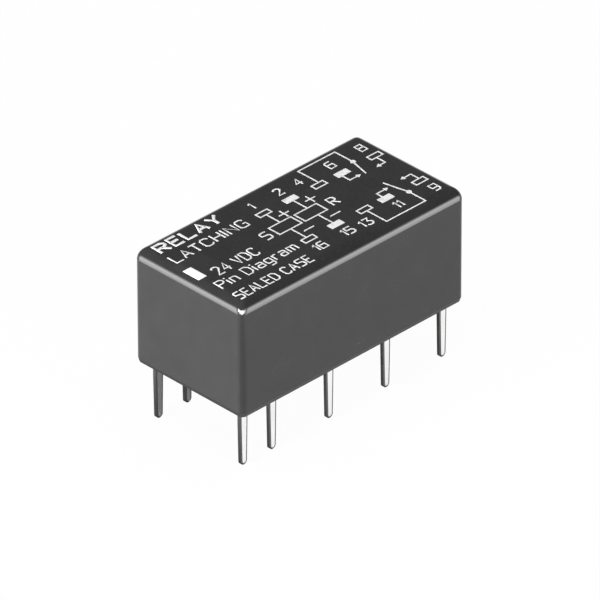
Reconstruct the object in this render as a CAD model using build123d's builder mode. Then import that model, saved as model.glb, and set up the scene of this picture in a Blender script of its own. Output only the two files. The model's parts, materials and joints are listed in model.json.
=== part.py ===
"""Sealed latching signal relay with two windings and two changeover contacts, on a 2.54 mm pin grid.

Frame, in millimetres: the origin is the middle of the case's bottom rim, +Z points up through the top face,
+X runs from the coil terminals (1 and 16) to the contact terminals (8 and 9), and +Y points to the row of
terminals 1, 2, 4, 6 and 8, called the rear. The armature and the contact springs stand in the reset state.
"""
import math
import os

from build123d import *

# Pin grid, numbered round the case like any dual-in-line part
pitch = 2.54
row_spacing = 7.62
places_per_row = 8
coil_pins = (1, 2, 15, 16)
common_pins = (4, 13)
rest_contact_pins = (6, 11)
work_contact_pins = (8, 9)

# Case walls and the room they leave round the mechanism
wall = 0.35
roof = 0.6
top_round = 0.85
corner_round = 0.45
cavity_round = 0.35
rim_taper_height = 0.3
rim_taper_depth = 0.1
end_gap = 0.21
side_gap = 0.1
rib_width = 0.6
rib_depth = 0.3
rib_pitch = 5.08
rib_seat_gap = 0.02

# Base and seal
resin_recess = 0.15
resin_depth = 0.4
floor_thickness = 0.65
base_fit = 0.03
well_wall = 0.35
well_fit = 0.05
well_gap = 0.2
guide_wall = 0.15
guide_height = 1.4

# Terminals, stamped from one strip
strip = 0.3
pin_length = 4.25
pin_width = 0.66
pin_tip_width = 0.54
pin_straight = 1.1
coin_width = 0.12
coin_depth = 0.035
post_width = 0.9
crank_inside_radius = 0.03
crank_bend_limit = 0.45
arm_height = 1.1
upright_width = 1.1
upright_margin = 0.05
shoulder_height = 0.9
horn_width = 0.5
horn_height = 3.2

# Core and coil
core_width = 1.3
core_thickness = 1.1
core_bend_radius = 0.4
pole_thickness = 0.9
pole_margin = 1.55
bobbin_wall = 0.3
cheek_root = 1.5
cheek_skin = 0.3
cheek_height = 2.7
flange_thickness = 0.5
flange_lip = 0.1
middle_flange = 1.5
end_block_height = 2.0
end_block_gap = 0.2
winding_depth = 3.4
winding_inset = 0.15
winding_round = 0.7
coil_lift = 0.15

# Armature, which swings about +Z in the middle of the case
swing = 4.0
pole_clearance = 0.03
armature_lift = 0.45
plate_thickness = 0.5
plate_height = 1.3
plate_overhang = 0.1
plate_edge_round = 0.1
magnet_length = 3.2
holder_length = 4.4
holder_skin = 0.3
holder_side = 0.5
pivot_radius = 0.4
pivot_clearance = 0.04
pivot_length = 0.6
pivot_end_gap = 0.15
thrust_gap = 0.05
bearing_boss_wall = 0.5
fork_offset = 0.6
fork_width = 0.7
fork_prong = 0.3
fork_clearance = 0.04
fork_grip = 0.6
arm_depth = 0.7

# Contact springs and contacts
blade = 0.08
blade_height = 1.6
blade_overhang = 0.45
spring_top_gap = 0.7
tine_gap = 0.2
tine_length = 2.6
contact_thickness = 0.1
button_radius = 0.22
bar_width = 0.4
bar_height = 1.4
contact_round = 0.04
contact_clearance = 0.03


def pin_x(number):
    """Place of a terminal along the case."""
    place = number if number <= places_per_row else 2 * places_per_row + 1 - number
    return (place - (places_per_row + 1) / 2) * pitch


def row(number):
    """Side of the case on which a terminal stands: 1 is the rear, -1 the front."""
    return 1 if number <= places_per_row else -1


# Levels, from the rim up
floor_bottom = resin_recess + resin_depth
floor_top = floor_bottom + floor_thickness
coil_height = floor_top + coil_lift + winding_depth / 2
coil_top = coil_height + winding_depth / 2
holder_bottom = coil_top + armature_lift
plate_bottom = holder_bottom + holder_skin
plate_top = plate_bottom + plate_height
holder_top = plate_top + holder_skin
ceiling = holder_top + thrust_gap + pivot_length + pivot_end_gap
case_height = ceiling + roof
contact_height = plate_bottom - spring_top_gap - blade_height / 2

# Places along the case
cavity_length = 2 * (pin_x(places_per_row) + post_width / 2 + end_gap)
case_length = cavity_length + 2 * wall
pole_outer = cavity_length / 2 - pole_margin
coil_end = pole_outer - pole_thickness - cheek_root
contact_x = (pin_x(rest_contact_pins[0]) + pin_x(work_contact_pins[0])) / 2
fork_x = pin_x(rest_contact_pins[0]) + fork_offset
spring_root_x = pin_x(common_pins[0]) + post_width / 2
spring_tip_x = contact_x + blade_overhang

# Swings: the forks carry the springs, so the springs turn by the ratio of the two levers
half_swing = math.radians(swing / 2)
spring_swing = swing * fork_x / (fork_x - spring_root_x)
lean = -math.radians(spring_swing / 2)
half_stroke = -(contact_x - spring_root_x) * math.tan(lean)

# Places across the case
spring_y = row_spacing / 2 - strip / 2 - blade / 2
bar_face = blade / 2 + contact_thickness + half_stroke + contact_clearance
fixed_plate_offset = bar_face + contact_thickness + strip / 2
cavity_width = 2 * (spring_y + fixed_plate_offset + strip / 2 + side_gap)
case_width = cavity_width + 2 * wall
well_half_width = spring_y - fixed_plate_offset - strip / 2 - well_gap - well_wall
flange_width = 2 * (well_half_width - well_fit)
half_gap = pole_outer * math.sin(half_swing) + core_width / 2 * math.cos(half_swing) + pole_clearance
plate_y = half_gap + plate_thickness / 2
holder_half_width = half_gap + plate_thickness + holder_side


def export(part, name):
    """Labels a finished piece and writes it as its own STEP file."""
    part.label = name
    export_step(part, f"parts/{name}.step")


def facing(y, x=0):
    """Upright drawing plane at the given depth and place, with its own x and y along X and Z."""
    return Plane(origin=(x, y, 0), x_dir=(1, 0, 0), z_dir=(0, -1, 0))


def pin(number, top):
    """Flat pin of a terminal, from its round tip up to the given level. Its edges are coined up to the resin."""
    front = facing(row(number) * row_spacing / 2, pin_x(number))
    root = resin_recess
    straight = -pin_straight
    tip_top = pin_tip_width / 2 - pin_length
    with BuildPart() as blank:
        with BuildSketch(front):
            with BuildLine():
                left = Polyline((-pin_width / 2, root), (-pin_width / 2, straight), (-pin_tip_width / 2, tip_top))
                tip = ThreePointArc(left @ 1, (0, -pin_length), (pin_tip_width / 2, tip_top))
                Polyline(tip @ 1, (pin_width / 2, straight), (pin_width / 2, root), left @ 0)
            make_face()
        extrude(amount=strip / 2, both=True)
        cut_end = blank.faces().sort_by(Axis.Z)[-1]
        for flat in blank.faces().filter_by(Axis.Y):
            chamfer(flat.edges() - cut_end.edges(), coin_width, coin_depth, reference=flat)
        with BuildSketch(front):
            with Locations((0, root)):
                Rectangle(pin_width, top - root, align=(Align.CENTER, Align.MIN))
        extrude(amount=strip / 2, both=True)
    return blank.part


def coil_terminal(number):
    """Straight terminal held by the bobbin's end block, with a horn on top for the winding's end."""
    blank = pin(number, floor_top)
    with BuildPart() as terminal:
        add(blank)
        with BuildSketch(facing(row(number) * row_spacing / 2)):
            with Locations((pin_x(number), floor_top)):
                Rectangle(post_width, shoulder_height, align=(Align.CENTER, Align.MIN))
                Rectangle(horn_width, horn_height, align=(Align.CENTER, Align.MIN))
        extrude(amount=strip / 2, both=True)
    export(terminal.part, f"terminal_{number}")
    return terminal.part


def contact_terminal(number, depth, upright_x, width):
    """Terminal cranked over the floor to a plate at the given depth, which rises beside the contact spring."""
    blank = pin(number, floor_bottom)
    x = pin_x(number)
    y = row(number) * row_spacing / 2
    crank = abs(depth - y)
    arm_top = floor_top + arm_height
    upright_top = contact_height + blade_height / 2 + upright_margin
    with BuildPart() as terminal:
        add(blank)
        with BuildSketch(Plane.YZ.offset(x)):
            with BuildLine():
                if crank > strip:
                    bend = min(crank_inside_radius + strip / 2, crank_bend_limit * crank)
                    foot = floor_top + strip / 2
                    FilletPolyline((y, floor_bottom), (y, foot), (depth, foot), (depth, arm_top), radius=bend)
                else:
                    Line((depth, floor_bottom), (depth, arm_top))
            trace(line_width=strip)
        extrude(amount=post_width / 2, both=True)
        with BuildSketch(facing(depth)):
            with Locations(((x + upright_x) / 2, floor_top)):
                Rectangle(abs(upright_x - x) + post_width, arm_height, align=(Align.CENTER, Align.MIN))
            with Locations((upright_x, floor_top)):
                Rectangle(width, upright_top - floor_top, align=(Align.CENTER, Align.MIN))
        extrude(amount=strip / 2, both=True)
    export(terminal.part, f"terminal_{number}")
    return terminal.part


def fixed_contact(number, depth, toward):
    """Contact bar on the face of a fixed plate: toward is 1 where the plate stands on the spring's +Y side."""
    with BuildPart() as bar:
        with BuildSketch(facing(depth - toward * strip / 2)):
            with Locations((contact_x, contact_height)):
                Rectangle(bar_width, bar_height)
        extrude(amount=toward * contact_thickness)
        front = bar.faces().sort_by(Axis.Y)[0 if toward > 0 else -1]
        fillet(front.edges(), contact_round)
    export(bar.part, f"fixed_contact_{number}")


def contact_spring(number):
    """Blade welded flat on its terminal's post and set to lean from the post's end, with a split tip."""
    y = row(number) * spring_y
    half = blade / 2
    mitre = half * math.tan(lean / 2)
    length = (spring_tip_x - spring_root_x) / math.cos(lean)
    along = Vector(math.cos(lean), math.sin(lean)) * length
    across = Vector(-math.sin(lean), math.cos(lean)) * half
    with BuildPart() as spring:
        with BuildSketch(Plane((spring_root_x, y, contact_height - blade_height / 2))):
            with BuildLine():
                Polyline(
                    (-post_width, half), (-mitre, half), along + across,
                    along - across, (mitre, -half), (-post_width, -half),
                    close=True,
                )
            make_face()
        extrude(amount=blade_height)
        with BuildSketch(facing(y)):
            with Locations((spring_tip_x, contact_height)):
                Rectangle(2 * tine_length, tine_gap)
        extrude(amount=2 * half_stroke, both=True, mode=Mode.SUBTRACT)
    export(spring.part, f"contact_spring_{number}")


def moving_contacts(number):
    """Contact buttons on both faces of the two tines of one spring."""
    tine_pitch = (blade_height + tine_gap) / 2
    reach = (contact_x - spring_root_x) / math.cos(lean)
    blade_plane = Plane(
        origin=(spring_root_x, row(number) * spring_y, contact_height),
        x_dir=(math.cos(lean), math.sin(lean), 0),
        z_dir=(math.sin(lean), -math.cos(lean), 0),
    )
    with BuildPart() as buttons:
        for side in (1, -1):
            with BuildSketch(blade_plane.offset(side * blade / 2)):
                with Locations((reach, tine_pitch / 2), (reach, -tine_pitch / 2)):
                    Circle(button_radius)
            extrude(amount=side * contact_thickness)
    export(buttons.part, f"moving_contacts_{number}")


os.makedirs("parts", exist_ok=True)

# Terminals, fixed contacts and contact springs
coil_terminals = [coil_terminal(number) for number in coil_pins]
contact_terminals = []
for number in common_pins:
    post_depth = row(number) * spring_y + blade / 2 + strip / 2
    contact_terminals.append(contact_terminal(number, post_depth, pin_x(number), post_width))
    contact_spring(number)
    moving_contacts(number)
for toward, numbers in ((-1, rest_contact_pins), (1, work_contact_pins)):
    for number in numbers:
        plate_depth = row(number) * spring_y + toward * fixed_plate_offset
        contact_terminals.append(contact_terminal(number, plate_depth, contact_x, upright_width))
        fixed_contact(number, plate_depth, toward)

# Core: one U-shaped piece of soft iron whose ends rise as pole arms
with BuildPart() as core:
    with BuildSketch(Plane.XZ):
        with Locations((0, coil_height - core_thickness / 2)):
            Rectangle(2 * pole_outer, core_thickness, align=(Align.CENTER, Align.MIN))
        for side in (-1, 1):
            with Locations((side * (pole_outer - pole_thickness / 2), coil_height - core_thickness / 2)):
                Rectangle(pole_thickness, plate_top - coil_height + core_thickness / 2, align=(Align.CENTER, Align.MIN))
    extrude(amount=core_width / 2, both=True)
    lower_bends = core.edges().filter_by(Axis.Y).group_by(Axis.Z)[0]
    fillet(lower_bends, core_bend_radius)
export(core.part, "core")

# Bobbin: tube and cheeks moulded round the core, with the coil terminals in the block at one end
bearing_top = holder_bottom - thrust_gap
with BuildPart() as bobbin:
    with BuildSketch(Plane.YZ.offset(-coil_end)):
        with Locations((0, coil_height)):
            Rectangle(core_width + 2 * bobbin_wall, core_thickness + 2 * bobbin_wall)
    extrude(amount=2 * coil_end)
    with BuildSketch(Plane.XY.offset(floor_top)):
        Rectangle(middle_flange, flange_width)
    extrude(amount=bearing_top - floor_top)
    with BuildSketch(Plane.XY.offset(floor_top)):
        for side in (-1, 1):
            with Locations((side * (coil_end + flange_thickness / 2), 0)):
                Rectangle(flange_thickness, flange_width)
    extrude(amount=coil_top + flange_lip - floor_top)
    with BuildSketch(Plane.XY.offset(floor_top)):
        for side in (-1, 1):
            with Locations((side * (coil_end + pole_outer + cheek_skin) / 2, 0)):
                Rectangle(pole_outer + cheek_skin - coil_end, flange_width)
    extrude(amount=cheek_height)
    block_end = cavity_length / 2 - end_block_gap
    with BuildSketch(Plane.XY.offset(floor_top)):
        with Locations((-(block_end + coil_end) / 2, 0)):
            Rectangle(block_end - coil_end, cavity_width - 2 * end_block_gap)
    extrude(amount=end_block_height)
    with BuildSketch(Plane.XY.offset(bearing_top)):
        Circle(pivot_radius + pivot_clearance)
    extrude(amount=-pivot_length - pivot_end_gap, mode=Mode.SUBTRACT)
    add(core.part, mode=Mode.SUBTRACT)
    for blank in coil_terminals:
        add(blank, mode=Mode.SUBTRACT)
export(bobbin.part, "bobbin")

# Windings: one on each side of the middle flange
for name, side in (("set_winding", -1), ("reset_winding", 1)):
    with BuildPart() as winding:
        with BuildSketch(Plane.YZ.offset(side * middle_flange / 2)):
            with Locations((0, coil_height)):
                RectangleRounded(flange_width - 2 * winding_inset, winding_depth, winding_round)
                Rectangle(core_width + 2 * bobbin_wall, core_thickness + 2 * bobbin_wall, mode=Mode.SUBTRACT)
        extrude(amount=side * (coil_end - middle_flange / 2))
    export(winding.part, name)

# Armature: two plates with the magnet between them, in a moulded holder that has the pivots and the forks
armature = Plane.XY.rotated((0, 0, -swing / 2))
plates = []
for name, side in (("front_armature_plate", -1), ("rear_armature_plate", 1)):
    with BuildPart() as plate:
        with BuildSketch(armature.offset(plate_bottom)):
            with Locations((0, side * plate_y)):
                RectangleRounded(2 * (pole_outer + plate_overhang), plate_thickness, plate_edge_round)
        extrude(amount=plate_height)
    export(plate.part, name)
    plates.append(plate.part)

with BuildPart() as magnet:
    with BuildSketch(armature.offset(plate_bottom)):
        Rectangle(magnet_length, 2 * half_gap)
    extrude(amount=plate_height)
export(magnet.part, "armature_magnet")

prong_centre = blade / 2 + fork_clearance + fork_prong / 2
with BuildPart() as holder:
    with BuildSketch(armature.offset(holder_bottom)):
        Rectangle(holder_length, 2 * holder_half_width)
    extrude(amount=holder_top - holder_bottom)
    with BuildSketch(armature.offset(plate_bottom)):
        for side in (-1, 1):
            fork_end = fork_x + fork_width / 2
            with Locations((fork_end / 2, side * (holder_half_width - holder_side / 2))):
                Rectangle(fork_end, holder_side)
            arm_start = holder_half_width - holder_side
            arm_end = spring_y + prong_centre + fork_prong / 2
            with Locations((fork_x, side * (arm_start + arm_end) / 2)):
                Rectangle(fork_width, arm_end - arm_start)
    extrude(amount=arm_depth)
    with BuildSketch(armature.offset(plate_bottom)):
        for side in (-1, 1):
            for prong in (-1, 1):
                with Locations((fork_x, side * spring_y + prong * prong_centre)):
                    Rectangle(fork_width, fork_prong)
    extrude(amount=-spring_top_gap - fork_grip)
    with BuildSketch(armature.offset(holder_bottom - pivot_length)):
        Circle(pivot_radius)
    extrude(amount=holder_top - holder_bottom + 2 * pivot_length)
    for plate_blank in plates:
        add(plate_blank, mode=Mode.SUBTRACT)
    add(magnet.part, mode=Mode.SUBTRACT)
export(holder.part, "armature_holder")

# Base: floor with the well for the coil, moulded round the contact terminals
with BuildPart() as base:
    base_length = cavity_length - 2 * base_fit
    base_width = cavity_width - 2 * base_fit
    with BuildSketch(Plane.XY.offset(floor_bottom)):
        RectangleRounded(base_length, base_width, cavity_round)
    extrude(amount=floor_thickness)
    well_end = pole_outer + cheek_skin + well_fit
    well_outer = well_half_width + well_wall
    with BuildSketch(Plane.XY.offset(floor_top)):
        with Locations((well_fit - coil_end, 0)):
            Rectangle(well_end + well_wall + coil_end - well_fit, 2 * well_outer, align=(Align.MIN, Align.CENTER))
            Rectangle(
                well_end + coil_end - well_fit, 2 * well_half_width,
                align=(Align.MIN, Align.CENTER), mode=Mode.SUBTRACT,
            )
    extrude(amount=coil_top + flange_lip - floor_top)
    guide_depth = base_width / 2 - well_outer
    with BuildSketch(Plane.XY.offset(floor_top)):
        for number in common_pins + rest_contact_pins + work_contact_pins:
            with Locations((pin_x(number), row(number) * (well_outer + guide_depth / 2))):
                Rectangle(post_width + 2 * guide_wall, guide_depth)
        RectangleRounded(base_length, base_width, cavity_round, mode=Mode.INTERSECT)
    extrude(amount=guide_height)
    for blank in coil_terminals + contact_terminals:
        add(blank, mode=Mode.SUBTRACT)
export(base.part, "base")

# Sealing resin under the floor
with BuildPart() as resin:
    with BuildSketch(Plane.XY.offset(resin_recess)):
        RectangleRounded(cavity_length, cavity_width, cavity_round)
    extrude(amount=resin_depth)
    for blank in coil_terminals + contact_terminals:
        add(blank, mode=Mode.SUBTRACT)
export(resin.part, "sealing_resin")

# Cover: a cap with the armature's upper bearing under its roof, and ribs that set the height of the base
with BuildPart() as cover:
    Box(case_length, case_width, case_height, align=(Align.CENTER, Align.CENTER, Align.MIN))
    fillet(cover.edges().filter_by(Axis.Z), corner_round)
    fillet(cover.faces().sort_by(Axis.Z)[-1].edges(), top_round)
    rim = cover.faces().sort_by(Axis.Z)[0]
    chamfer(rim.edges(), rim_taper_depth, rim_taper_height, reference=rim)
    with BuildSketch(Plane.XY):
        RectangleRounded(cavity_length, cavity_width, cavity_round)
    extrude(amount=ceiling, mode=Mode.SUBTRACT)
    with BuildSketch(Plane.XY.offset(holder_top + thrust_gap)):
        Circle(pivot_radius + pivot_clearance + bearing_boss_wall)
        Circle(pivot_radius + pivot_clearance, mode=Mode.SUBTRACT)
    extrude(amount=pivot_length + pivot_end_gap)
    with BuildSketch(Plane.XY.offset(floor_top + rib_seat_gap)):
        for side in (-1, 1):
            with Locations((0, side * (cavity_width - rib_depth) / 2)):
                with GridLocations(rib_pitch, 0, 2, 1):
                    Rectangle(rib_width, rib_depth)
    extrude(amount=ceiling - floor_top - rib_seat_gap)
export(cover.part, "cover")
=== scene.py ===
"""Looks of the signal relay: its finishes, the print on its top, its potted underside and a small studio.

Everything is in metres, in the model's own frame: the origin is the middle of the case's bottom rim, +Z
points up through the printed top, +X runs to the contact end and +Y to the rear row of terminals. Sizes in
the classes are in millimetres, and MM turns them into metres.
"""
from __future__ import annotations

import json
import logging
import math
from dataclasses import dataclass, field
from enum import Enum
from typing import Callable, Sequence

import bpy
from mathutils import Matrix, Vector

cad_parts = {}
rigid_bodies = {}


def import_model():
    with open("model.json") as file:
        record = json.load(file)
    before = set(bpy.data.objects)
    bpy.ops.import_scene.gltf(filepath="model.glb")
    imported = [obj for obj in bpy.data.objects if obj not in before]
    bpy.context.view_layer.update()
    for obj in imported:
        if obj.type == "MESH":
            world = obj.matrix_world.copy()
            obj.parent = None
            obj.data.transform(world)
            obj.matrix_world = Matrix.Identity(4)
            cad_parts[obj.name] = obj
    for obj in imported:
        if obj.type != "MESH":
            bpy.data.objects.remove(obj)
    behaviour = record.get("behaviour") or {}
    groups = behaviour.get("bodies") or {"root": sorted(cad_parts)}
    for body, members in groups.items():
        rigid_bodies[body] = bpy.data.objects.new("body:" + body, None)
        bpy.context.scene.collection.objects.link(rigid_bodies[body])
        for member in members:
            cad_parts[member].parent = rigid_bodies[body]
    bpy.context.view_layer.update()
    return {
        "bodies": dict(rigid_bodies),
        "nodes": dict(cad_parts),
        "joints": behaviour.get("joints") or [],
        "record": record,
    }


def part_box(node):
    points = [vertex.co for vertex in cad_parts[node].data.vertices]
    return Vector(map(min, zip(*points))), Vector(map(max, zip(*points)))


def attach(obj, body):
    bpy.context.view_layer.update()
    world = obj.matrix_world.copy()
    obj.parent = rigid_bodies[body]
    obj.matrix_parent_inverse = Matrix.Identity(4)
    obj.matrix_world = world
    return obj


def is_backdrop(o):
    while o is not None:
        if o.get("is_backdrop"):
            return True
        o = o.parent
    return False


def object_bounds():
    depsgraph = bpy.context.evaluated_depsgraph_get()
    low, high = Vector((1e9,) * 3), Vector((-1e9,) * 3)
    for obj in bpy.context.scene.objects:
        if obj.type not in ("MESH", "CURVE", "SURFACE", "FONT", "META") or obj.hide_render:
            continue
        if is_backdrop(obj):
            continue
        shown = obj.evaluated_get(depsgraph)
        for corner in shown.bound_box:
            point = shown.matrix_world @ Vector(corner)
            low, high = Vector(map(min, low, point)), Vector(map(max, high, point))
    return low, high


log = logging.getLogger("signal_relay")

MM = 0.001
PICTURE_WIDTH = 600
SENSOR_MM = 36.0
HOUSING = "housing"
SAME_PLACE_MM = 0.001  # points that are nearer to each other are one place

# Most values of a noise lie in the first range, and nearly all of them in the second
NOISE_MIDDLE = (0.3, 0.7)
NOISE_ENDS = (0.2, 0.8)

Piece = bpy.types.Object
Socket = bpy.types.NodeSocket
Point = tuple[float, float]
Triple = tuple[float, float, float]


class Row(Enum):
    """The two rows of terminals: the side of the case on which each stands."""

    REAR = 1
    FRONT = -1


class Pad(Enum):
    """How the small box of a terminal is printed in the wiring diagram."""

    OPEN = "open"
    FILLED = "filled"


class NodeTree:
    """A tree of shader nodes, with short ways to add nodes and to join them."""

    def __init__(self, tree: bpy.types.NodeTree) -> None:
        """Takes up the tree of a material, a world or a lamp."""
        self.tree = tree

    def add(self, kind: str, *first: object, **named: object) -> bpy.types.Node:
        """Adds a node and fills its inputs.

        Args:
            kind: Type name of the node, after ShaderNode.
            *first: Values or sockets for its first inputs.
            **named: Values or sockets for other inputs, by their names with spaces as underscores.

        Returns:
            The new node.
        """
        node = self.tree.nodes.new("ShaderNode" + kind)
        self.fill(node, {**dict(enumerate(first)), **named})
        return node

    def fill(self, node: bpy.types.Node, inputs: dict) -> None:
        """Links sockets to inputs of a node, or sets the inputs' own values.

        Args:
            node: The node.
            inputs: Values or sockets, by the inputs' numbers or by their names with spaces as underscores.
        """
        for key, value in inputs.items():
            socket = node.inputs[key.replace("_", " ") if isinstance(key, str) else key]
            if isinstance(value, Socket):
                self.tree.links.new(value, socket)
            else:
                socket.default_value = value

    def math(self, operation: str, first: object, second: object = 0.0) -> Socket:
        """Does one sum on two values.

        Args:
            operation: Name of the sum, such as MULTIPLY.
            first: A value or a socket.
            second: A value or a socket.

        Returns:
            The socket with the result.
        """
        node = self.add("Math", first, second)
        node.operation = operation
        return node.outputs[0]

    def axes(self, vector: object) -> tuple[Socket, ...]:
        """Splits a vector into its x, y and z sockets."""
        return tuple(self.add("SeparateXYZ", vector).outputs)


class NodeDesk(NodeTree):
    """One new material, with short ways to make patterns in the piece's own coordinates."""

    def __init__(self, name: str) -> None:
        """Starts a material that holds only its shader and its output.

        Args:
            name: Name of the material.
        """
        self.material = bpy.data.materials.new(name)
        self.material.use_nodes = True
        super().__init__(self.material.node_tree)
        self.shader = self.tree.nodes["Principled BSDF"]
        self.place = self.add("TexCoord").outputs["Object"]

    def set(self, **inputs: object) -> None:
        """Fills inputs of the shader, by their names with spaces as underscores."""
        self.fill(self.shader, inputs)

    def noise(self, size_mm: float, detail: float = 3.0, place: object = None) -> Socket:
        """Cloudy noise in the piece's own coordinates.

        Args:
            size_mm: Size of its largest features, in millimetres.
            detail: How many finer layers it has.
            place: Coordinates to read, or None for the object's own.

        Returns:
            The socket with the noise, from 0 to 1.
        """
        vector = self.place if place is None else place
        return self.add("TexNoise", Vector=vector, Scale=1 / (size_mm * MM), Detail=detail).outputs[0]

    def span(
        self, value: object, low: float, high: float, to_low: float = 0.0, to_high: float = 1.0
    ) -> Socket:
        """Maps a value from one range to another, and holds it within the second.

        Args:
            value: The socket to map.
            low: Start of the first range.
            high: End of the first range.
            to_low: What the start becomes.
            to_high: What the end becomes.

        Returns:
            The socket with the mapped value.
        """
        ends = {"From_Min": low, "From_Max": high, "To_Min": to_low, "To_Max": to_high}
        node = self.add("MapRange", Value=value, **ends)
        node.clamp = True
        return node.outputs[0]

    def cloud(self, size_mm: float, detail: float = 3.0, low: float = 0.0, high: float = 1.0) -> Socket:
        """Noise of a size in millimetres and a number of finer layers, stretched to run from low to high."""
        return self.span(self.noise(size_mm, detail), *NOISE_MIDDLE, low, high)

    def below(self, value: object, limit_mm: float, soft_mm: float) -> Socket:
        """Gives 1 where a length is below a limit and 0 past it, with a border of twice the soft width."""
        return self.span(value, (limit_mm - soft_mm) * MM, (limit_mm + soft_mm) * MM, 1.0, 0.0)

    def band(self, value: object, middle_mm: float, half_mm: float, soft_mm: float) -> Socket:
        """Gives 1 where a coordinate is within a band and 0 past it, with borders as soft as below."""
        away = self.math("ABSOLUTE", self.math("SUBTRACT", value, middle_mm * MM))
        return self.below(away, half_mm, soft_mm)

    def mix(self, share: object, first: object, second: object) -> Socket:
        """Mixes two colours.

        Args:
            share: How much of the second colour shows, a value or a socket.
            first: A colour or a socket.
            second: A colour or a socket.

        Returns:
            The socket with the mixed colour.
        """
        node = self.add("Mix")
        node.data_type = "RGBA"
        self.fill(node, {0: share, 6: opaque(first), 7: opaque(second)})
        return node.outputs[2]

    def bump(self, height: object, depth_mm: float) -> None:
        """Roughens the shader's surface by a height from 0 to 1, which stands for a depth in millimetres."""
        node = self.add("Bump", Height=height, Distance=depth_mm * MM, Strength=1.0)
        self.set(Normal=node.outputs["Normal"])


def opaque(colour: object) -> object:
    """Adds full opacity to a plain colour of three numbers, and returns anything else as it is."""
    return (*colour, 1.0) if isinstance(colour, tuple) and len(colour) == 3 else colour


@dataclass(frozen=True)
class Finish:
    """A plain moulded, cast or rolled surface with fine grain and a slight unevenness of colour and gloss."""

    name: str
    colour: Triple  # linear red, green and blue
    roughness: float
    metallic: float = 0.0
    ior: float = 1.5
    grain_mm: float = 0.12
    grain_depth_mm: float = 0.0015
    mottle: float = 0.12  # how far the colour strays, as a share of itself
    mottle_mm: float = 1.6  # size of the patches in which it strays
    gloss_patch: float = 0.6  # size of the patches of gloss, as a share of those of colour

    def material(self) -> bpy.types.Material:
        """Makes the material of this finish.

        Returns:
            The new material.
        """
        desk = NodeDesk(self.name)
        desk.set(Metallic=self.metallic, IOR=self.ior)
        self.dress(desk)
        return desk.material

    def shade(self, factor: float) -> tuple[float, ...]:
        """The finish's colour made darker or paler by a factor, and at most white."""
        return tuple(min(part * factor, 1.0) for part in self.colour)

    def tone(self, desk: NodeDesk) -> Socket:
        """Mottled base colour of the finish, for the material being made."""
        return desk.mix(desk.cloud(self.mottle_mm), self.shade(1 - self.mottle), self.shade(1 + self.mottle))

    def gloss(self, desk: NodeDesk, spread: float = 0.25) -> Socket:
        """Roughness that strays about the finish's own by a share of it, for the material being made."""
        low, high = self.roughness * (1 - spread), self.roughness * (1 + spread)
        return desk.cloud(self.mottle_mm * self.gloss_patch, detail=4.0, low=low, high=high)

    def dress(self, desk: NodeDesk) -> None:
        """Fills the shader of the material being made."""
        desk.set(Base_Color=self.tone(desk), Roughness=self.gloss(desk))
        desk.bump(desk.noise(self.grain_mm, detail=2.0), self.grain_depth_mm)


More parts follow.
